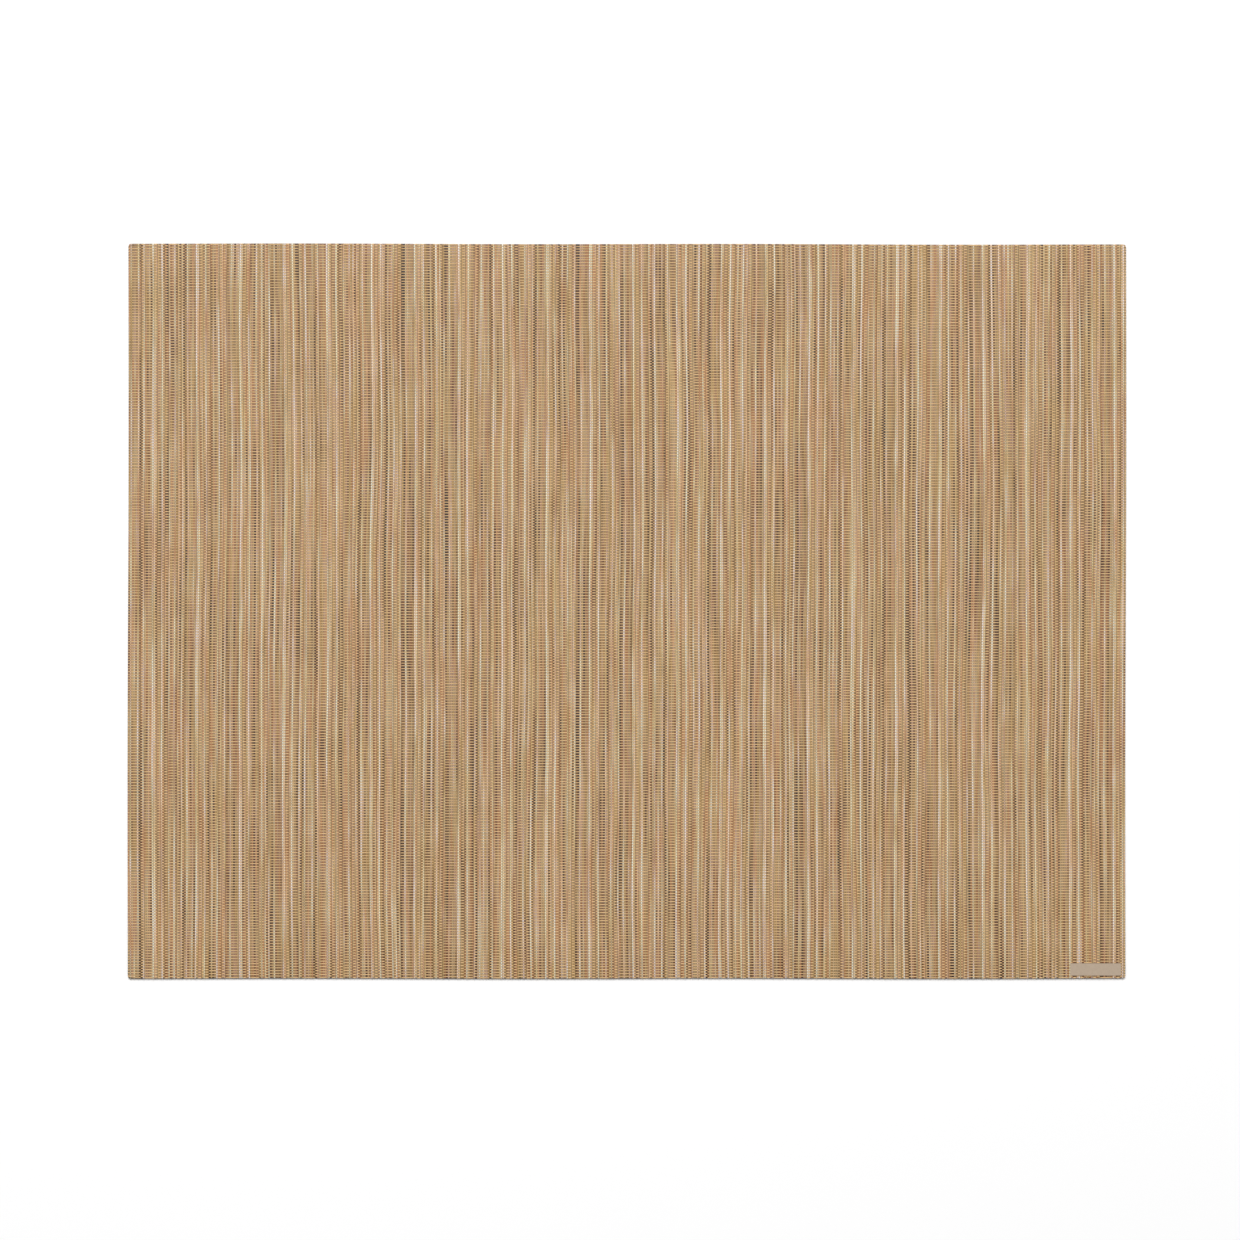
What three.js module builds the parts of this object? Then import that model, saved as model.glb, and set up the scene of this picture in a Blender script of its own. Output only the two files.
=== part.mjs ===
// A flat woven placemat with fine ribs from front to back, and the small bare label at its near right corner.
// Millimetres. X runs along the long side, Y along the short side and the ribs, Z up from the table.
import * as THREE from 'three';

// Driving dimensions of the mat
const longSide = 482.6;
const shortSide = 355.6;
const groundThickness = 1.25;
const ribHeight = 0.3;
const cornerRadius = 1.3;
const edgeEase = 0.2;

// The cut is a little out of true, and the cloth is a little uneven along its edges
const sideLean = 0.5;
const farEdgeFall = 0.55;
const sideWave = { size: 0.14, length: 290 };
const endWave = { size: 0.12, length: 205 };

// The ends of the cloth pass over and under together in groups, and each group makes one rib.
// The groups of one repeat, left to right, each as its number of ends
const endPitch = 0.88;
const endsInRibs = [7, 2, 5, 2, 2, 2, 2, 5, 2, 2, 6, 2, 2, 2, 2, 5, 2, 2, 7, 2, 2, 2, 5, 3, 2, 8, 2, 2, 5, 2];
const widestRound = 3;
const broadRibShare = 0.8;
const rowsAlongRibs = 3;

// Driving dimensions of the label
const label = { length: 24.6, width: 5.9, thickness: 0.35, corner: 0.5 };
const labelFromSide = 2.3;
const labelFromEnd = 1.5;
const labelClearance = 0.3;

const materials = {
  cloth: new THREE.MeshStandardMaterial({ color: 0xb39573, roughness: 0.62, metalness: 0 }),
  label: new THREE.MeshStandardMaterial({ color: 0xbeac91, roughness: 0.7, metalness: 0 }),
};

// The crown of a rib: one line of points on a narrow rib, two on a broad one, which is flatter
function crownLines(left, ends) {
  const right = left + ends * endPitch;
  if (ends <= widestRound) {
    return [{ x: (left + right) / 2, lift: ribHeight }];
  }
  const lift = ribHeight * broadRibShare;
  return [{ x: left + endPitch, lift }, { x: right - endPitch, lift }];
}

// The lines of points across the mat: each has its place from the middle and its height over the grooves
function crossLines() {
  const half = longSide / 2;
  const rim = [0, 0.35, 1].map((share) => cornerRadius * share);
  const lines = rim.map((inset) => ({ x: inset - half, lift: inset > 0 ? 0 : -edgeEase }));
  let left = -half;
  for (let i = 0; left < half; i += 1) {
    const ends = endsInRibs[i % endsInRibs.length];
    const fresh = [...crownLines(left, ends), { x: left + ends * endPitch, lift: 0 }];
    lines.push(...fresh.filter((line) => Math.abs(line.x) < half - cornerRadius * 1.2));
    left += ends * endPitch;
  }
  const farRim = rim.map((inset) => ({ x: half - inset, lift: inset > 0 ? 0 : -edgeEase }));
  return lines.concat(farRim.reverse());
}

// How far a corner's arc draws the end of the cloth in, at a distance from its side
function cornerInset(fromSide) {
  const past = Math.max(cornerRadius - fromSide, 0);
  return cornerRadius - Math.sqrt(cornerRadius ** 2 - past ** 2);
}

function wave(place, { size, length }) {
  return size * Math.sin((2 * Math.PI * place) / length);
}

// A box whose points are drawn to the cross lines, raised on the ribs and eased along the uneven outline
function matGeometry() {
  const lines = crossLines();
  const columns = lines.length - 1;
  const geometry = new THREE.BoxGeometry(longSide, shortSide, groundThickness, columns, rowsAlongRibs, 1);
  const points = geometry.attributes.position;
  for (let i = 0; i < points.count; i += 1) {
    const line = lines[Math.round((points.getX(i) / longSide + 0.5) * columns)];
    const along = points.getY(i);
    const atEnd = Math.abs(along) > shortSide * 0.499;
    const inset = atEnd ? cornerInset(longSide / 2 - Math.abs(line.x)) : 0;
    const fall = along > 0 ? farEdgeFall * (line.x / longSide + 0.5) * (along / (shortSide / 2)) : 0;
    const side = (sideLean * along) / shortSide + wave(along, sideWave);
    const end = wave(line.x, endWave) - fall;
    const onTop = points.getZ(i) > 0;
    points.setXYZ(
      i,
      line.x + side,
      along - Math.sign(along) * inset + end,
      onTop ? groundThickness + line.lift : 0,
    );
  }
  geometry.computeBoundingBox();
  const middle = geometry.boundingBox.getCenter(new THREE.Vector3());
  geometry.translate(-middle.x, -middle.y, 0);
  geometry.computeVertexNormals();
  return geometry;
}

// A thin plate with rounded corners, drawn about its own middle
function labelGeometry() {
  const { length, width, corner } = label;
  const shape = new THREE.Shape();
  for (const [x, y, turn] of [[1, 1, 0], [-1, 1, 1], [-1, -1, 2], [1, -1, 3]]) {
    const start = (turn * Math.PI) / 2;
    shape.absarc(x * (length / 2 - corner), y * (width / 2 - corner), corner, start, start + Math.PI / 2, false);
  }
  return new THREE.ExtrudeGeometry(shape, { depth: label.thickness, bevelEnabled: false, curveSegments: 4 });
}

const matMesh = new THREE.Mesh(matGeometry(), materials.cloth);
matMesh.name = 'mat';

const labelMesh = new THREE.Mesh(labelGeometry(), materials.label);
labelMesh.name = 'label';
labelMesh.position.set(
  longSide / 2 - labelFromSide - label.length / 2,
  labelFromEnd + label.width / 2 - shortSide / 2,
  groundThickness + ribHeight + labelClearance,
);

const placemat = new THREE.Group();
placemat.add(matMesh, labelMesh);

export default placemat;
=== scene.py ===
# A flat ribbed placemat: dyed ends run from front to back, plain tan picks cross them,
# and a small bare label lies at the near right corner.
import math

import bpy
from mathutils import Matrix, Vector


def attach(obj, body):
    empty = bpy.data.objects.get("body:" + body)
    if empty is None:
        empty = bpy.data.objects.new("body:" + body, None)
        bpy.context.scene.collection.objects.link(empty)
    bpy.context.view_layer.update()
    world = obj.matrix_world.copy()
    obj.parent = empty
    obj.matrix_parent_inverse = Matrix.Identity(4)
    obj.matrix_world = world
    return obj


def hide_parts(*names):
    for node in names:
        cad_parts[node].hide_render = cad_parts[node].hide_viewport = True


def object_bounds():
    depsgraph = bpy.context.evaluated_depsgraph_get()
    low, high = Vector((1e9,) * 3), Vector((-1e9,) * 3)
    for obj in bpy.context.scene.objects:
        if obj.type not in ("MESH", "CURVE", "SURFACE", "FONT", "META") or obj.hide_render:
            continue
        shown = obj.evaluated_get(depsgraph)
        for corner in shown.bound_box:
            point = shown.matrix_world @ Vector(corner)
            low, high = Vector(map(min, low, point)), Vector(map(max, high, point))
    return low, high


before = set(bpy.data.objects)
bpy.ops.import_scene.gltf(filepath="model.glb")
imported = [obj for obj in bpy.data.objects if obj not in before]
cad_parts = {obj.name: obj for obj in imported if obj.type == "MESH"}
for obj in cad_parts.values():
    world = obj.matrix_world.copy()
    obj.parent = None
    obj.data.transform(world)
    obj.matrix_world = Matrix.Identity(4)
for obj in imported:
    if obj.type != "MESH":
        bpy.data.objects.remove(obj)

cadLow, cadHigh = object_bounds()
mm = 0.001

# The cloth as woven. Ends that pass over and under together make one rib.
cloth = {
    "long": 482.6 * mm,
    "short": 355.6 * mm,
    "ends": 548,
    "rows": 271,  # a row is two picks, one over each set of ribs
    "cutMargin": 0.13 * mm,  # left beyond the outer picks by the cut
    "endsInRibs": [
        7, 2, 5, 2, 2, 2, 2, 5, 2, 2, 6, 2, 2, 2, 2,
        5, 2, 2, 7, 2, 2, 2, 5, 3, 2, 8, 2, 2, 5, 2,
    ],
    "strips": 4,  # how many pieces the ends are parted into, and the picks with them
}
endPitch = cloth["long"] / cloth["ends"]
rowPitch = (cloth["short"] - 2 * cloth["cutMargin"]) / cloth["rows"]

# How far the cut and the yarns stray from straight
unevenness = {
    "sideLean": 0.5 * mm,
    "farEdgeFall": 0.55 * mm,
    "sideWave": (0.14 * mm, 290 * mm),  # size and length
    "endWave": (0.12 * mm, 205 * mm),
    "cornerRadius": 1.3 * mm,
    "wander": 2.0 * mm,
    "wanderAcross": 34 * mm,
    "wanderAlong": 110 * mm,
    "steadySide": 12 * mm,  # the yarns keep straighter than this far from the side edges
}

# The dyeing order of 24 ends: how light each one is on the whole, and how far it stands proud
dyeOrder = [
    {"tone": 0.48, "proud": 0.0},
    {"tone": 0.70, "proud": 0.9},
    {"tone": 0.45, "proud": 0.0},
    {"tone": 0.57, "proud": 0.2},
    {"tone": 0.44, "proud": 0.0},
    {"tone": 0.64, "proud": 0.7},
    {"tone": 0.35, "proud": 0.0},
    {"tone": 0.37, "proud": 0.0},
    {"tone": 0.67, "proud": 0.8},
    {"tone": 0.47, "proud": 0.0},
    {"tone": 0.40, "proud": 0.0},
    {"tone": 0.49, "proud": 0.0},
    {"tone": 0.46, "proud": 0.0},
    {"tone": 0.79, "proud": 1.0},
    {"tone": 0.63, "proud": 0.3},
    {"tone": 0.46, "proud": 0.0},
    {"tone": 0.48, "proud": 0.0},
    {"tone": 0.47, "proud": 0.0},
    {"tone": 0.75, "proud": 1.0},
    {"tone": 0.48, "proud": 0.0},
    {"tone": 0.40, "proud": 0.0},
    {"tone": 0.35, "proud": 0.0},
    {"tone": 0.63, "proud": 0.6},
    {"tone": 0.39, "proud": 0.0},
]


def fromScreen(red, green, blue):
    # A colour as seen on a screen, 0 to 255, as Blender's linear colour
    def straight(part):
        share = part / 255
        return share / 12.92 if share <= 0.04045 else ((share + 0.055) / 1.055) ** 2.4

    return (straight(red), straight(green), straight(blue), 1.0)


# Small tools for wiring node trees


class Wires:
    def __init__(self, tree):
        self.tree = tree

    def feed(self, socket, source):
        if isinstance(source, bpy.types.NodeSocket):
            self.tree.links.new(source, socket)
        else:
            socket.default_value = source

    def add(self, kind, reads=None, **settings):
        node = self.tree.nodes.new(kind)
        for name, value in settings.items():
            setattr(node, name, value)
        for name, source in (reads or {}).items():
            self.feed(node.inputs[name], source)
        return node

    def maths(self, operation, *values):
        node = self.add("ShaderNodeMath", operation=operation)
        for socket, value in zip(node.inputs, values):
            self.feed(socket, value)
        return node.outputs[0]

    def vector(self, x, y, z):
        return self.add("ShaderNodeCombineXYZ", {"X": x, "Y": y, "Z": z}).outputs[0]

    def parts(self, source):
        node = self.add("ShaderNodeSeparateXYZ", {"Vector": source})
        return node.outputs[0], node.outputs[1], node.outputs[2]

    def ramp(self, place, stops, steps=False):
        # stops is [(place from 0 to 1, grey or colour)]
        node = self.add("ShaderNodeValToRGB", {"Fac": place})
        node.color_ramp.interpolation = "CONSTANT" if steps else "LINEAR"
        elements = node.color_ramp.elements
        while len(elements) < len(stops):
            elements.new(1.0)
        for element, (at, value) in zip(elements, stops):
            element.position = at
            element.color = value if isinstance(value, tuple) else (value, value, value, 1.0)
        return node.outputs[0]

    def noise(self, vector, detail=0.0, dimensions="3D"):
        reads = {"Vector": vector, "Scale": 1.0, "Detail": detail, "Roughness": 0.5}
        return self.add("ShaderNodeTexNoise", reads, noise_dimensions=dimensions).outputs[0]


def newTree(name, sockets):
    # A geometry tree with named inputs, and its input and output nodes
    tree = bpy.data.node_groups.new(name, "GeometryNodeTree")
    tree.interface.new_socket("Geometry", in_out="INPUT", socket_type="NodeSocketGeometry")
    for title, kind in sockets:
        tree.interface.new_socket(title, in_out="INPUT", socket_type=kind)
    tree.interface.new_socket("Geometry", in_out="OUTPUT", socket_type="NodeSocketGeometry")
    wires = Wires(tree)
    return tree, wires, wires.add("NodeGroupInput").outputs, wires.add("NodeGroupOutput").inputs


def keepMesh(name, mesh, tree, values):
    # Runs a tree on a mesh and keeps the result as a plain mesh under the object's name
    piece = bpy.data.objects.new(name, mesh)
    bpy.context.scene.collection.objects.link(piece)
    modifier = piece.modifiers.new("make", "NODES")
    modifier.node_group = tree
    for item in tree.interface.items_tree:
        if item.in_out == "INPUT" and item.name in values:
            modifier[item.identifier] = values[item.name]
    depsgraph = bpy.context.evaluated_depsgraph_get()
    made = bpy.data.meshes.new_from_object(piece.evaluated_get(depsgraph), depsgraph=depsgraph)
    piece.modifiers.remove(modifier)
    piece.data = made
    made.name = name
    bpy.data.meshes.remove(mesh)
    print(name, len(made.polygons), "faces")
    return piece


# The draft, worked out from the ribs of one repeat


def ribsAcross():
    # Each rib as its first end, the end after its last, and which of the two sheds it goes with
    ribs = []
    first = 0
    while first < cloth["ends"]:
        width = cloth["endsInRibs"][len(ribs) % len(cloth["endsInRibs"])]
        last = min(first + width, cloth["ends"])
        ribs.append({"first": first, "last": last, "shed": len(ribs) % 2})
        first = last
    return ribs


def stripEdges(ribs):
    # The ends at which the cloth is parted into strips, each where a rib begins
    edges = []
    for strip in range(cloth["strips"] + 1):
        wanted = strip * cloth["ends"] / cloth["strips"]
        edges.append(min((rib["first"] for rib in ribs), key=lambda first: abs(first - wanted)))
    edges[-1] = cloth["ends"]
    return edges


def shedStops():
    # The draft as steps of 0 and 1 over one repeat
    stops = []
    first = 0
    for number, width in enumerate(cloth["endsInRibs"]):
        stops.append((first / sum(cloth["endsInRibs"]), float(number % 2)))
        first += width
    return stops


def orderStops(key):
    return [(number / len(dyeOrder), end[key]) for number, end in enumerate(dyeOrder)]


def placeInRepeat(wires, end, count):
    # Where an end falls in a repeat of so many ends, from 0 to 1
    middle = wires.maths("ADD", wires.maths("FLOOR", end), 0.5)
    return wires.maths("FRACT", wires.maths("DIVIDE", middle, float(count)))


def inOrder(wires, end, key):
    # What the dyeing order says of an end
    return wires.ramp(placeInRepeat(wires, end, len(dyeOrder)), orderStops(key), steps=True)


def shedAt(wires, end):
    return wires.ramp(placeInRepeat(wires, end, sum(cloth["endsInRibs"])), shedStops(), steps=True)


def pickOfShed(wires, shed):
    # The two picks of a row lie a quarter and three quarters of the way along it
    return wires.maths("MULTIPLY_ADD", shed, 0.5, 0.25)


# What all woven pieces share


def makeUnevenTree():
    # Takes straight cloth to its real outline, with yarns that wander a little
    wires, given, result = newTree("unevenCloth", [])[1:]
    x, y = wires.parts(wires.add("GeometryNodeInputPosition").outputs[0])[:2]
    halfLong = cloth["long"] / 2
    halfShort = cloth["short"] / 2
    radius = unevenness["cornerRadius"]

    def wave(along, size, length):
        turn = wires.maths("MULTIPLY", along, 2 * math.pi / length)
        return wires.maths("MULTIPLY", wires.maths("SINE", turn), size)

    lean = wires.maths("MULTIPLY", y, unevenness["sideLean"] / cloth["short"])
    side = wires.maths("ADD", lean, wave(y, *unevenness["sideWave"]))
    noiseX = wires.maths("DIVIDE", x, unevenness["wanderAcross"])
    noiseY = wires.maths("DIVIDE", y, unevenness["wanderAlong"])
    spot = wires.vector(noiseX, noiseY, 0.0)
    stray = wires.maths("SUBTRACT", wires.noise(spot, detail=1.0, dimensions="2D"), 0.5)
    fromSide = wires.maths("SUBTRACT", halfLong, wires.maths("ABSOLUTE", x))
    freedom = wires.maths("MINIMUM", wires.maths("DIVIDE", fromSide, unevenness["steadySide"]), 1.0)
    stray = wires.maths("MULTIPLY", stray, wires.maths("MAXIMUM", freedom, 0.0))
    side = wires.maths("MULTIPLY_ADD", stray, unevenness["wander"], side)

    rightward = wires.maths("MULTIPLY_ADD", x, 0.5 / halfLong, 0.5)
    farther = wires.maths("MAXIMUM", wires.maths("DIVIDE", y, halfShort), 0.0)
    fall = wires.maths("MULTIPLY", rightward, farther)
    end = wires.maths("MULTIPLY_ADD", fall, -unevenness["farEdgeFall"], wave(x, *unevenness["endWave"]))

    # A corner's arc draws the end of the cloth in
    past = wires.maths("MAXIMUM", wires.maths("SUBTRACT", radius, fromSide), 0.0)
    chord = wires.maths("SQRT", wires.maths("SUBTRACT", radius**2, wires.maths("POWER", past, 2.0)))
    inset = wires.maths("SUBTRACT", radius, chord)
    fromEnd = wires.maths("SUBTRACT", halfShort, wires.maths("ABSOLUTE", y))
    near = wires.maths("SUBTRACT", 1.0, wires.maths("DIVIDE", fromEnd, radius))
    drawn = wires.maths("MULTIPLY", inset, wires.maths("MAXIMUM", near, 0.0))
    end = wires.maths("SUBTRACT", end, wires.maths("MULTIPLY", drawn, wires.maths("SIGN", y)))

    shift = wires.vector(side, end, 0.0)
    moved = wires.add("GeometryNodeSetPosition", {"Geometry": given["Geometry"], "Offset": shift})
    wires.feed(result["Geometry"], moved.outputs[0])


def storeClothPlace(wires, geometry, lift):
    # Keeps where each point lies in the straight cloth, in ends and rows, and how high it is in its yarn
    x, y = wires.parts(wires.add("GeometryNodeInputPosition").outputs[0])[:2]
    end = wires.maths("MULTIPLY_ADD", x, 1 / endPitch, cloth["ends"] / 2)
    row = wires.maths("MULTIPLY_ADD", y, 1 / rowPitch, cloth["rows"] / 2)
    reads = {"Geometry": geometry, "Name": "clothPlace", "Value": wires.vector(end, row, lift)}
    settings = {"data_type": "FLOAT_VECTOR", "domain": "POINT"}
    return wires.add("GeometryNodeStoreNamedAttribute", reads, **settings).outputs[0]


# The flat map of a strip: its upper faces, and beside them a narrow band for its other faces
sheetMap = {
    "margin": 0.001,
    "upperWidth": 0.93,
    "bandStart": 0.945,
    "bandWidth": 0.05,
    "facesUp": 0.05,  # a face whose normal rises more than this is an upper one
}


def storeSheetMap(wires, geometry, firstEnd, endCount):
    place = wires.add("GeometryNodeInputNamedAttribute", {"Name": "clothPlace"}, data_type="FLOAT_VECTOR")
    end, row = wires.parts(place.outputs[0])[:2]
    margin = sheetMap["margin"]
    across = wires.maths("DIVIDE", wires.maths("SUBTRACT", end, firstEnd), endCount)
    along = wires.maths("MULTIPLY_ADD", row, (1 - 2 * margin) / cloth["rows"], margin)
    normalZ = wires.parts(wires.add("GeometryNodeInputNormal").outputs[0])[2]
    isUpper = wires.maths("GREATER_THAN", normalZ, sheetMap["facesUp"])
    settings = {"data_type": "FLOAT", "domain": "FACE"}
    onFace = wires.add("GeometryNodeFieldOnDomain", {"Value": isUpper}, **settings).outputs[0]
    upper = wires.maths("MULTIPLY", across, sheetMap["upperWidth"])
    band = wires.maths("MULTIPLY_ADD", across, sheetMap["bandWidth"], sheetMap["bandStart"])
    mapX = wires.maths("MULTIPLY_ADD", wires.maths("SUBTRACT", upper, band), onFace, band)
    reads = {"Geometry": geometry, "Name": "OFBake", "Value": wires.vector(mapX, along, 0.0)}
    settings = {"data_type": "FLOAT2", "domain": "CORNER"}
    return wires.add("GeometryNodeStoreNamedAttribute", reads, **settings).outputs[0]


def finishTree(wires, geometry, material, result):
    # Straight cloth goes through the uneven tree, and then gets its material
    uneven = wires.add("GeometryNodeGroup")
    uneven.node_tree = bpy.data.node_groups["unevenCloth"]
    wires.feed(uneven.inputs["Geometry"], geometry)
    real = wires.add("GeometryNodeRealizeInstances", {"Geometry": uneven.outputs[0]}).outputs[0]
    dressed = wires.add("GeometryNodeSetMaterial", {"Geometry": real, "Material": material}).outputs[0]
    wires.feed(result["Geometry"], dressed)


# The ends: corrugated strips, each end with a round crown, and the ground cloth under them

ends = {
    "pointsAcross": 3,
    "stretches": 22,
    "inset": 0.0,
    "under": 0.66 * mm,
    "groove": 1.06 * mm,
    "crown": 0.22 * mm,
    "proud": 0.21 * mm,
    "cutEase": 0.16 * mm,
}

ground = {
    "pointsAcross": 1,
    "stretches": 22,
    "inset": 0.07 * mm,
    "under": 0.0,
    "groove": 0.72 * mm,
    "crown": 0.0,
    "proud": 0.0,
    "cutEase": 0.0,
}

cutStretch = 0.45 * mm  # the first and last stretch of every end, drawn down by the hot cut
hair = 0.0001  # keeps rounding from deciding for a point that lies on a limit
weldDistance = 0.001  # in the slab's own units, one to a column
smoothAbove = 0.1  # faces whose normals rise more than this are smooth


def makeCorrugatedTree(material):
    sockets = [("First End", "NodeSocketFloat"), ("End Count", "NodeSocketFloat")]
    sockets += [("Points Across", "NodeSocketInt"), ("Stretches", "NodeSocketInt")]
    sizes = ("Inset", "Under", "Groove", "Crown", "Proud", "Cut Ease")
    sockets += [(name, "NodeSocketFloat") for name in sizes]
    tree, wires, given, result = newTree("corrugated" + material.name, sockets)

    # A closed slab, one unit thick, so many columns across and so many stretches long
    columns = wires.maths("MULTIPLY", given["End Count"], given["Points Across"])
    reads = {
        "Size X": columns,
        "Size Y": given["Stretches"],
        "Vertices X": wires.maths("ADD", columns, 1.0),
        "Vertices Y": wires.maths("ADD", given["Stretches"], 1.0),
    }
    sheet = wires.add("GeometryNodeMeshGrid", reads).outputs[0]
    reads = {"Mesh": sheet, "Offset": (0.0, 0.0, 1.0), "Offset Scale": 1.0, "Individual": False}
    raised = wires.add("GeometryNodeExtrudeMesh", reads, mode="FACES").outputs[0]
    turned = wires.add("GeometryNodeFlipFaces", {"Mesh": sheet}).outputs[0]
    joined = wires.add("GeometryNodeJoinGeometry")
    wires.tree.links.new(raised, joined.inputs[0])
    wires.tree.links.new(turned, joined.inputs[0])
    reads = {"Geometry": joined.outputs[0], "Distance": weldDistance}
    closed = wires.add("GeometryNodeMergeByDistance", reads).outputs[0]

    x, y, z = wires.parts(wires.add("GeometryNodeInputPosition").outputs[0])
    column = wires.maths("ROUND", wires.maths("MULTIPLY_ADD", columns, 0.5, x))
    end = wires.maths("ADD", given["First End"], wires.maths("DIVIDE", column, given["Points Across"]))
    across = wires.maths("FRACT", wires.maths("ADD", end, hair))
    fromMiddle = wires.maths("MULTIPLY_ADD", across, 2.0, -1.0)
    arch = wires.maths("SUBTRACT", 1.0, wires.maths("POWER", fromMiddle, 2.0))
    arch = wires.maths("SQRT", wires.maths("MAXIMUM", arch, 0.0))
    standing = inOrder(wires, end, "proud")
    height = wires.maths("MULTIPLY_ADD", standing, given["Proud"], given["Crown"])
    top = wires.maths("MULTIPLY_ADD", arch, height, given["Groove"])
    onTop = wires.maths("GREATER_THAN", z, 0.5)
    straightX = wires.maths("MULTIPLY_ADD", end, endPitch, -cloth["long"] / 2)
    narrow = wires.maths("SUBTRACT", 1.0, wires.maths("DIVIDE", given["Inset"], cloth["long"] / 2))
    straightX = wires.maths("MULTIPLY", straightX, narrow)

    # Stretches are equal, but for the two at the cut
    halfStretches = wires.maths("MULTIPLY", given["Stretches"], 0.5)
    innerStretches = wires.maths("SUBTRACT", halfStretches, 1.0)
    inner = wires.maths("DIVIDE", wires.maths("ABSOLUTE", y), innerStretches)
    atCut = wires.maths("GREATER_THAN", inner, 1.0 + hair)
    innerReach = cloth["short"] / 2 - cutStretch
    reach = wires.maths("MULTIPLY", wires.maths("MINIMUM", inner, 1.0), innerReach)
    outerReach = wires.maths("SUBTRACT", cutStretch, given["Inset"])
    reach = wires.maths("MULTIPLY_ADD", atCut, outerReach, reach)
    straightY = wires.maths("MULTIPLY", reach, wires.maths("SIGN", y))
    top = wires.maths("SUBTRACT", top, wires.maths("MULTIPLY", atCut, given["Cut Ease"]))
    thickness = wires.maths("SUBTRACT", top, given["Under"])
    level = wires.maths("MULTIPLY_ADD", thickness, onTop, given["Under"])
    reads = {"Geometry": closed, "Position": wires.vector(straightX, straightY, level)}
    placed = wires.add("GeometryNodeSetPosition", reads).outputs[0]

    placed = storeClothPlace(wires, placed, onTop)
    placed = storeSheetMap(wires, placed, given["First End"], given["End Count"])
    normalZ = wires.parts(wires.add("GeometryNodeInputNormal").outputs[0])[2]
    reads = {"Geometry": placed, "Selection": wires.maths("GREATER_THAN", normalZ, smoothAbove)}
    placed = wires.add("GeometryNodeSetShadeSmooth", reads, domain="FACE").outputs[0]
    finishTree(wires, placed, material, result)
    return tree


def corrugatedStrip(name, tree, sizes, firstEnd, lastEnd):
    values = {
        "First End": float(firstEnd),
        "End Count": float(lastEnd - firstEnd),
        "Points Across": sizes["pointsAcross"],
        "Stretches": sizes["stretches"],
        "Inset": sizes["inset"],
        "Under": sizes["under"],
        "Groove": sizes["groove"],
        "Crown": sizes["crown"],
        "Proud": sizes["proud"],
        "Cut Ease": sizes["cutEase"],
    }
    return keepMesh(name, bpy.data.meshes.new(name + "Start"), tree, values)


# The picks: each float of a pick over a rib is a small pillow of yarn

picks = {
    "across": 0.7 * mm,
    "topAcross": 0.36 * mm,
    "thinning": 0.017 * mm,  # a float is this much thinner for each end that it crosses
    "endTaper": 0.14 * mm,
    "base": 1.1 * mm,
    "height": 0.33 * mm,
    "stray": 0.04 * mm,
    "seed": 7,
}


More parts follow.
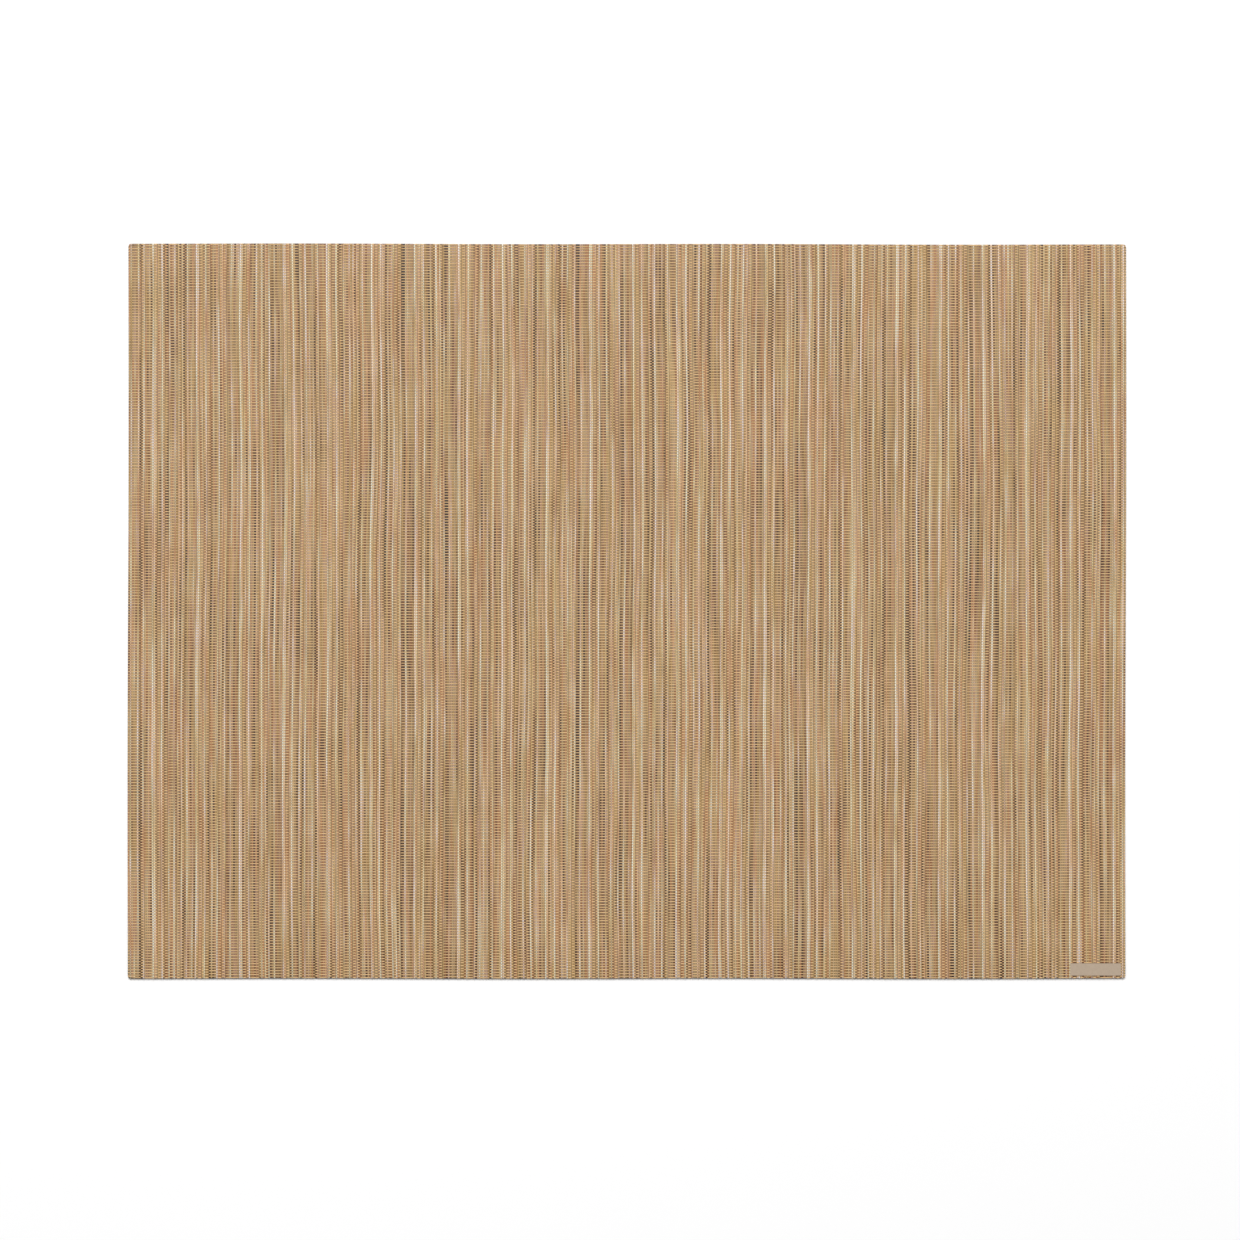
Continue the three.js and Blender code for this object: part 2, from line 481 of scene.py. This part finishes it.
def makePicksTree(material):
    sockets = [("First End", "NodeSocketFloat"), ("End Count", "NodeSocketFloat"), ("Rows", "NodeSocketInt")]
    sizes = ("Across", "Top Across", "Thinning", "End Taper", "Base", "Height", "Stray")
    sockets += [(name, "NodeSocketFloat") for name in sizes]
    sockets += [("Seed", "NodeSocketInt")]
    tree, wires, given, result = newTree("picks", sockets)

    def position():
        return wires.add("GeometryNodeInputPosition").outputs[0]

    def named(name, kind="FLOAT"):
        return wires.add("GeometryNodeInputNamedAttribute", {"Name": name}, data_type=kind).outputs[0]

    def store(geometry, name, value):
        reads = {"Geometry": geometry, "Name": name, "Value": value}
        settings = {"data_type": "FLOAT_VECTOR", "domain": "POINT"}
        return wires.add("GeometryNodeStoreNamedAttribute", reads, **settings).outputs[0]

    def put(geometry, x, y, z):
        reads = {"Geometry": geometry, "Position": wires.vector(x, y, z)}
        return wires.add("GeometryNodeSetPosition", reads).outputs[0]

    # One point for each float, row after row
    reads = {"Geometry": given["Geometry"], "Amount": given["Rows"]}
    again = wires.add("GeometryNodeDuplicateElements", reads, domain="POINT")
    reads = {"Min": -1.0, "Max": 1.0, "Seed": given["Seed"]}
    chance = wires.add("FunctionNodeRandomValue", data_type="FLOAT")
    for socket in chance.inputs:
        if socket.enabled and socket.name in reads:
            wires.feed(socket, reads[socket.name])
    loose = next(socket for socket in chance.outputs if socket.enabled)
    row = wires.maths("ADD", again.outputs["Duplicate Index"], pickOfShed(wires, named("shed")))
    along = wires.maths("MULTIPLY_ADD", row, rowPitch, -rowPitch * cloth["rows"] / 2)
    along = wires.maths("MULTIPLY_ADD", loose, given["Stray"], along)
    placed = put(again.outputs[0], wires.parts(position())[0], along, 0.0)
    placed = store(placed, "middle", position())

    # The pillow, as a box whose top is smaller than its foot
    block = wires.add("GeometryNodeMeshCube", {"Size": (1.0, 1.0, 1.0)}).outputs[0]
    block = store(block, "corner", position())
    floats = wires.add("GeometryNodeInstanceOnPoints", {"Points": placed, "Instance": block}).outputs[0]
    floats = wires.add("GeometryNodeRealizeInstances", {"Geometry": floats}).outputs[0]
    cornerX, cornerY, cornerZ = wires.parts(named("corner", "FLOAT_VECTOR"))
    middleX, middleY = wires.parts(named("middle", "FLOAT_VECTOR"))[:2]
    lift = wires.maths("GREATER_THAN", cornerZ, 0.0)
    taper = wires.maths("MULTIPLY", given["End Taper"], 2.0)
    length = wires.maths("SUBTRACT", named("wide"), wires.maths("MULTIPLY", lift, taper))
    narrowing = wires.maths("SUBTRACT", given["Across"], given["Top Across"])
    width = wires.maths("SUBTRACT", given["Across"], wires.maths("MULTIPLY", lift, narrowing))
    crossed = wires.maths("DIVIDE", named("wide"), endPitch)
    width = wires.maths("SUBTRACT", width, wires.maths("MULTIPLY", crossed, given["Thinning"]))
    atX = wires.maths("MULTIPLY_ADD", cornerX, length, middleX)
    atY = wires.maths("MULTIPLY_ADD", cornerY, width, middleY)
    atZ = wires.maths("MULTIPLY_ADD", lift, given["Height"], given["Base"])
    shaped = put(floats, atX, atY, atZ)

    shaped = storeClothPlace(wires, shaped, lift)
    shaped = storeSheetMap(wires, shaped, given["First End"], given["End Count"])
    shaped = wires.add("GeometryNodeSetShadeSmooth", {"Geometry": shaped}, domain="FACE").outputs[0]
    for name in ("corner", "middle", "wide", "shed"):
        shaped = wires.add("GeometryNodeRemoveAttribute", {"Geometry": shaped, "Name": name}).outputs[0]
    finishTree(wires, shaped, material, result)
    return tree


def picksStrip(name, tree, ribs, firstEnd, lastEnd):
    mine = [rib for rib in ribs if firstEnd <= rib["first"] < lastEnd]
    row = bpy.data.meshes.new(name + "Start")
    middles = [(rib["first"] + rib["last"]) / 2 * endPitch - cloth["long"] / 2 for rib in mine]
    row.from_pydata([(middle, 0.0, 0.0) for middle in middles], [], [])
    wide = row.attributes.new("wide", "FLOAT", "POINT")
    shed = row.attributes.new("shed", "FLOAT", "POINT")
    for number, rib in enumerate(mine):
        wide.data[number].value = (rib["last"] - rib["first"]) * endPitch
        shed.data[number].value = float(rib["shed"])
    values = {
        "First End": float(firstEnd),
        "End Count": float(lastEnd - firstEnd),
        "Rows": cloth["rows"],
        "Across": picks["across"],
        "Top Across": picks["topAcross"],
        "Thinning": picks["thinning"],
        "End Taper": picks["endTaper"],
        "Base": picks["base"],
        "Height": picks["height"],
        "Stray": picks["stray"],
        "Seed": picks["seed"],
    }
    return keepMesh(name, row, tree, values)


# Finishes

yarn = {
    "palette": [
        (0.22, fromScreen(46, 29, 24)),
        (0.31, fromScreen(86, 54, 34)),
        (0.38, fromScreen(140, 105, 72)),
        (0.45, fromScreen(172, 139, 104)),
        (0.56, fromScreen(194, 165, 134)),
        (0.65, fromScreen(216, 198, 175)),
        (0.75, fromScreen(236, 226, 210)),
        (0.92, fromScreen(250, 240, 226)),
    ],
    "tints": [
        (0.37, fromScreen(248, 240, 192)),
        (0.44, fromScreen(240, 248, 236)),
        (0.50, fromScreen(254, 250, 232)),
        (0.56, fromScreen(250, 240, 255)),
        (0.63, fromScreen(255, 219, 190)),
    ],
    "tintByTone": [(0.5, 1.0), (0.75, 0.55)],  # how strong the tint is at a tone
    # What drifts along an end. The lane is how far apart two ends lie in the noise.
    "dye": {"length": 70 * mm, "strength": 0.66, "detail": 1.0, "lane": 7.31, "start": 3.7},
    "fleck": {"length": 13 * mm, "strength": 0.2, "detail": 0.0, "lane": 5.71, "start": 8.1},
    "tint": {"length": 44 * mm, "detail": 1.0, "lane": 3.17, "start": 11.3},
    "orderStrength": 0.78,
    "middleTone": 0.495,
    "pick": fromScreen(222, 183, 130),
    "pickDrift": {"length": 60 * mm, "depth": 0.3, "detail": 1.0, "lane": 5.3, "start": 1.9},
    "fibreDepth": 0.16,
    "endFibres": (9.0, 1.3),  # how fine the noise is, to an end and to a row
    "pickFibres": (1.2, 14.0),
    "endBump": (0.8, 0.14 * mm),  # strength and distance
    "pickBump": (0.4, 0.05 * mm),
    "backBump": (0.6, 0.15 * mm),
    "roughness": 0.5,
}

# Painted shade, where the yarns shade each other, as stops of a place from 0 to 1 and a shade (backEnd alone
# mixes colours)
shading = {
    # painted shade in the grooves between ends
    "endGrooveShade": [(0.5, 1.0), (0.94, 0.45)],
    "shadeUnderPick": [(0.3, 0.8), (0.85, 0.0)],  # painted shade that a pick casts on the end under it
    "proudShadeRelief": 0.45,  # an end that stands proud is spared this share of the painted shade
    # painted shade at the foot of a pick's float, where it dives under the ends
    "pickFootShade": [(0.0, 0.55), (0.8, 1.0)],
    # painted shade in the grooves between ends on the back of the cloth
    "backGrooveShade": [(0.5, 1.0), (0.95, 0.6)],
    "backEnd": [(0.42, 0.0), (0.5, 1.0)],  # from the pick's colour to the end's
    # painted shade along the seam on the back where an end and a pick meet
    "backSeamAt": 0.46,
    "backSeamShade": [(0.0, 0.55), (0.25, 1.0)],
}


def newMaterial(name):
    material = bpy.data.materials.new(name)
    material.use_nodes = True
    wires = Wires(material.node_tree)
    return material, wires, material.node_tree.nodes["Principled BSDF"]


def clothPlace(wires):
    # The end, the row and the height in its yarn, as the trees stored them
    return wires.parts(wires.add("ShaderNodeAttribute", attribute_name="clothPlace").outputs["Vector"])


def mixColours(wires, blend, share, first, second):
    # The mix node has number sockets of the same names, so its colour sockets go by their places
    reads = {0: share, 6: first, 7: second}
    return wires.add("ShaderNodeMix", reads, data_type="RGBA", blend_type=blend).outputs[2]


def dress(wires, shader, colour, shade, height, bump, roughness):
    # The colour darkened by the shade (painted shade and tone for the yarns, tone alone for the label), and
    # a bump of the height
    wires.feed(shader.inputs["Base Color"], mixColours(wires, "MULTIPLY", 1.0, colour, shade))
    shader.inputs["Roughness"].default_value = roughness
    strength, distance = bump
    reads = {"Height": height, "Strength": strength, "Distance": distance}
    wires.feed(shader.inputs["Normal"], wires.add("ShaderNodeBump", reads).outputs[0])


def about(wires, noise, depth):
    # A shade about 1, up to half the depth more or less
    return wires.maths("MULTIPLY_ADD", noise, depth, 1 - depth / 2)


def driftAlong(wires, number, row, drift):
    # Noise that drifts along each end and differs from end to end
    lane = wires.maths("MULTIPLY", number, drift["lane"])
    along = wires.maths("MULTIPLY", row, rowPitch / drift["length"])
    return wires.noise(wires.vector(lane, along, drift["start"]), drift["detail"])


def swing(wires, noise, drift, tone):
    return wires.maths("MULTIPLY_ADD", wires.maths("SUBTRACT", noise, 0.5), drift["strength"], tone)


def dyedColour(wires, end, row):
    # The colour of an end at a row: its place in the dyeing order, and a tone that drifts along it
    number = wires.maths("FLOOR", end)
    tone = wires.maths("SUBTRACT", inOrder(wires, end, "tone"), yarn["middleTone"])
    tone = wires.maths("MULTIPLY_ADD", tone, yarn["orderStrength"], yarn["middleTone"])
    for drift in (yarn["dye"], yarn["fleck"]):
        tone = swing(wires, driftAlong(wires, number, row, drift), drift, tone)
    colour = wires.ramp(tone, yarn["palette"])
    tint = wires.ramp(driftAlong(wires, number, row, yarn["tint"]), yarn["tints"])
    return mixColours(wires, "MULTIPLY", wires.ramp(tone, yarn["tintByTone"]), colour, tint)


def fibres(wires, end, row, perEnd, perRow):
    spot = wires.vector(wires.maths("MULTIPLY", end, perEnd), wires.maths("MULTIPLY", row, perRow), 0.0)
    return about(wires, wires.noise(spot, detail=1.0), yarn["fibreDepth"])


def rowShare(wires, row, shed):
    # 1 midway between two floats of the picks, 0 at the middle of a float
    place = wires.maths("SUBTRACT", row, pickOfShed(wires, shed))
    turn = wires.maths("MULTIPLY", place, 2 * math.pi)
    return wires.maths("MULTIPLY_ADD", wires.maths("COSINE", turn), -0.5, 0.5)


def fromEndMiddle(wires, end):
    # 0 at the middle of an end, 1 at its two sides
    return wires.maths("ABSOLUTE", wires.maths("MULTIPLY_ADD", wires.maths("FRACT", end), 2.0, -1.0))


def endsMaterial():
    material, wires, shader = newMaterial("dyedEnds")
    end, row = clothPlace(wires)[:2]
    share = rowShare(wires, row, shedAt(wires, end))
    # Painted shade: darker in the grooves between ends
    groove = wires.ramp(fromEndMiddle(wires, end), shading["endGrooveShade"])
    # Painted shade where a pick passes over an end, less on an end that stands proud
    shadeKept = wires.maths("MULTIPLY_ADD", inOrder(wires, end, "proud"), -shading["proudShadeRelief"], 1.0)
    paintedPickShade = wires.maths("MULTIPLY", wires.ramp(share, shading["shadeUnderPick"]), shadeKept)
    footShade = wires.maths("SUBTRACT", 1.0, paintedPickShade)
    fibre = fibres(wires, end, row, *yarn["endFibres"])
    shade = wires.maths("MULTIPLY", wires.maths("MULTIPLY", groove, footShade), fibre)
    height = wires.maths("ADD", share, wires.maths("MULTIPLY", fibre, 0.5))
    colour = dyedColour(wires, end, row)
    dress(wires, shader, colour, shade, height, yarn["endBump"], yarn["roughness"])
    return material


def picksMaterial():
    material, wires, shader = newMaterial("tanPicks")
    end, row, lift = clothPlace(wires)
    drift = yarn["pickDrift"]
    number = wires.maths("FLOOR", wires.maths("MULTIPLY", row, 2.0))
    along = wires.maths("MULTIPLY", end, endPitch / drift["length"])
    spot = wires.vector(along, wires.maths("MULTIPLY", number, drift["lane"]), drift["start"])
    change = about(wires, wires.noise(spot, drift["detail"]), drift["depth"])
    fibre = fibres(wires, end, row, *yarn["pickFibres"])
    # Painted shade, darker towards the foot of each float
    footShade = wires.ramp(lift, shading["pickFootShade"])
    shade = wires.maths("MULTIPLY", wires.maths("MULTIPLY", change, fibre), footShade)
    dress(wires, shader, yarn["pick"], shade, fibre, yarn["pickBump"], yarn["roughness"])
    return material


def groundMaterial():
    # The back of the cloth, where each yarn shows where the face hides it, and the cut edges
    material, wires, shader = newMaterial("clothBack")
    end, row = clothPlace(wires)[:2]
    share = wires.maths("SUBTRACT", 1.0, rowShare(wires, row, shedAt(wires, end)))
    endShows = wires.ramp(share, shading["backEnd"])
    colour = mixColours(wires, "MIX", endShows, yarn["pick"], dyedColour(wires, end, row))
    # Painted shade in the grooves between ends and along the seams where ends and picks meet
    groove = wires.ramp(fromEndMiddle(wires, end), shading["backGrooveShade"])
    fromSeam = wires.maths("ABSOLUTE", wires.maths("SUBTRACT", share, shading["backSeamAt"]))
    shade = wires.maths("MULTIPLY", groove, wires.ramp(fromSeam, shading["backSeamShade"]))
    dress(wires, shader, colour, shade, shade, yarn["backBump"], yarn["roughness"])
    return material


# The label: a bare strip with rounded corners, a little proud of the ribs

label = {
    "length": 24.6 * mm,
    "width": 5.9 * mm,
    "fromSide": 2.3 * mm,
    "fromEnd": 1.5 * mm,
    "low": 1.44 * mm,
    "high": 1.78 * mm,
    "corner": 0.5 * mm,
    "cornerSteps": 5,
    "ease": 0.08 * mm,
    "easeSteps": [(1.0, 0.0), (0.3, 0.4), (0.0, 1.0)],  # shares of the ease, down and inward
    "colour": fromScreen(176, 157, 136),
    "roughness": 0.6,
    "warpPitch": 0.42 * mm,
    "weftPitch": 0.36 * mm,
    "threadShade": 0.04,
    "bump": (0.4, 0.04 * mm),  # strength and distance
    "cloudsToMetre": 900.0,
    "cloudDepth": 0.14,
    "cloudBase": 0.9,  # the shade where a cloud is darkest
}


def labelMaterial():
    material, wires, shader = newMaterial("bareLabel")
    place = wires.add("ShaderNodeTexCoord").outputs["Object"]
    x, y = wires.parts(place)[:2]
    warp = wires.maths("SINE", wires.maths("MULTIPLY", x, 2 * math.pi / label["warpPitch"]))
    weft = wires.maths("SINE", wires.maths("MULTIPLY", y, 2 * math.pi / label["weftPitch"]))
    thread = wires.maths("MULTIPLY", warp, weft)
    reads = {0: place, 1: (label["cloudsToMetre"],) * 3}
    spot = wires.add("ShaderNodeVectorMath", reads, operation="MULTIPLY").outputs[0]
    clouds = wires.noise(spot, detail=2.0)
    cloud = wires.maths("MULTIPLY_ADD", clouds, label["cloudDepth"], label["cloudBase"])
    shade = wires.maths("ADD", cloud, wires.maths("MULTIPLY", thread, label["threadShade"]))
    dress(wires, shader, label["colour"], shade, thread, label["bump"], label["roughness"])
    return material


def makeLabel(material):
    middleX = cloth["long"] / 2 - label["fromSide"] - label["length"] / 2
    middleY = label["fromEnd"] - cloth["short"] / 2 + label["width"] / 2
    armX = label["length"] / 2 - label["corner"]
    armY = label["width"] / 2 - label["corner"]
    rim = []  # from the label's own middle
    for turn, (signX, signY) in enumerate([(1, 1), (-1, 1), (-1, -1), (1, -1)]):
        for step in range(label["cornerSteps"] + 1):
            angle = (turn + step / label["cornerSteps"]) * math.pi / 2
            x = signX * armX + label["corner"] * math.cos(angle)
            y = signY * armY + label["corner"] * math.sin(angle)
            rim.append((x, y))
    levels = [(label["low"], 0.0)]
    levels += [(label["high"] - label["ease"] * below, drawn) for below, drawn in label["easeSteps"]]
    points = []
    for level, drawn in levels:
        for x, y in rim:
            shrink = 1 - drawn * label["ease"] / math.hypot(x, y)
            points.append((middleX + x * shrink, middleY + y * shrink, level))
    count = len(rim)
    faces = [tuple(reversed(range(count)))]
    for low in range(0, len(points) - count, count):
        for i in range(count):
            j = (i + 1) % count
            faces.append((low + i, low + j, low + count + j, low + count + i))
    faces.append(tuple(range(len(points) - count, len(points))))
    mesh = bpy.data.meshes.new("labelStrip")
    mesh.from_pydata(points, [], faces)
    mesh.materials.append(material)
    piece = bpy.data.objects.new("labelStrip", mesh)
    bpy.context.scene.collection.objects.link(piece)
    return piece


# The stage: a plain pale floor, soft light from the far side, and a camera straight above

stage = {
    "floor": 40.0,  # metres across, so that its edges lie out of sight
    "floorOpening": 2.0 * mm,  # how far the opening under the mat stays inside its outline
    "floorColour": (0.93, 0.93, 0.93, 1.0),
    "floorRoughness": 0.9,
    "skyColour": (1.0, 1.0, 1.0, 1.0),
    "skyStrength": 0.3,
    "lamps": [
        {"name": "farLight", "place": (-0.4, 2.4, 3.6), "size": 2.3, "power": 196.0},
        {"name": "nearFill", "place": (1.6, -2.4, 3.2), "size": 3.0, "power": 14.0},
    ],
}

photo = {
    "pixels": 1240,
    "matMiddle": (626.9, 611.0),  # pixels from the left and from the top
    "pixelsToMetre": 2068.6,
    "distance": 1.5,  # metres from the top of the mat to the camera
}


def makeStage():
    # The floor is open under the mat, so that the back of the cloth can be seen from below
    openX = cloth["long"] / 2 - stage["floorOpening"]
    openY = cloth["short"] / 2 - stage["floorOpening"]
    points = []
    for x, y in [(stage["floor"] / 2, stage["floor"] / 2), (openX, openY)]:
        points += [(-x, -y, 0.0), (x, -y, 0.0), (x, y, 0.0), (-x, y, 0.0)]
    faces = [(i, (i + 1) % 4, (i + 1) % 4 + 4, i + 4) for i in range(4)]
    mesh = bpy.data.meshes.new("floor")
    mesh.from_pydata(points, [], faces)
    floor = bpy.data.objects.new("floor", mesh)
    bpy.context.scene.collection.objects.link(floor)
    material, _, shader = newMaterial("paleFloor")
    shader.inputs["Base Color"].default_value = stage["floorColour"]
    shader.inputs["Roughness"].default_value = stage["floorRoughness"]
    mesh.materials.append(material)

    world = bpy.data.worlds.new("sky")
    world.use_nodes = True
    sky = world.node_tree.nodes["Background"].inputs
    sky["Color"].default_value = stage["skyColour"]
    sky["Strength"].default_value = stage["skyStrength"]
    bpy.context.scene.world = world
    for lamp in stage["lamps"]:
        data = bpy.data.lights.new(lamp["name"], "AREA")
        data.size = lamp["size"]
        data.energy = lamp["power"]
        light = bpy.data.objects.new(lamp["name"], data)
        light.location = lamp["place"]
        light.rotation_euler = (-Vector(lamp["place"])).to_track_quat("-Z", "Y").to_euler()
        bpy.context.scene.collection.objects.link(light)


def makeCamera():
    # The camera stands over the middle of the picture, which is a little off the mat's middle
    x = (photo["pixels"] / 2 - photo["matMiddle"][0]) / photo["pixelsToMetre"]
    y = (photo["matMiddle"][1] - photo["pixels"] / 2) / photo["pixelsToMetre"]
    data = bpy.data.cameras.new("overhead")
    seen = photo["pixels"] / photo["pixelsToMetre"]
    data.lens = data.sensor_width * photo["distance"] / seen
    camera = bpy.data.objects.new("overhead", data)
    camera.location = (x, y, photo["distance"] + cadHigh[2])
    bpy.context.scene.collection.objects.link(camera)
    bpy.context.scene.camera = camera


bpy.context.scene.view_settings.view_transform = "Standard"
bpy.context.scene.cycles.denoising_prefilter = "NONE"  # keeps the rows, which are under three pixels each
makeStage()
makeCamera()
print("stage and camera are set")

makeUnevenTree()
ribs = ribsAcross()
edges = stripEdges(ribs)
print(len(ribs), "ribs, parted at ends", edges)

groundTree = makeCorrugatedTree(groundMaterial())
groundCloth = corrugatedStrip("groundCloth", groundTree, ground, 0, cloth["ends"])
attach(groundCloth, "root")
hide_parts("mat")

yarns = []
endsTree = makeCorrugatedTree(endsMaterial())
picksTree = makePicksTree(picksMaterial())
for number in range(cloth["strips"]):
    span = edges[number], edges[number + 1]
    yarns.append(corrugatedStrip("ends" + str(number + 1), endsTree, ends, *span))
    yarns.append(picksStrip("picks" + str(number + 1), picksTree, ribs, *span))
for piece in yarns:
    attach(piece, "root")
print("ends and picks are woven")

labelStrip = makeLabel(labelMaterial())
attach(labelStrip, "root")
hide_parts("label")
print("label is laid")
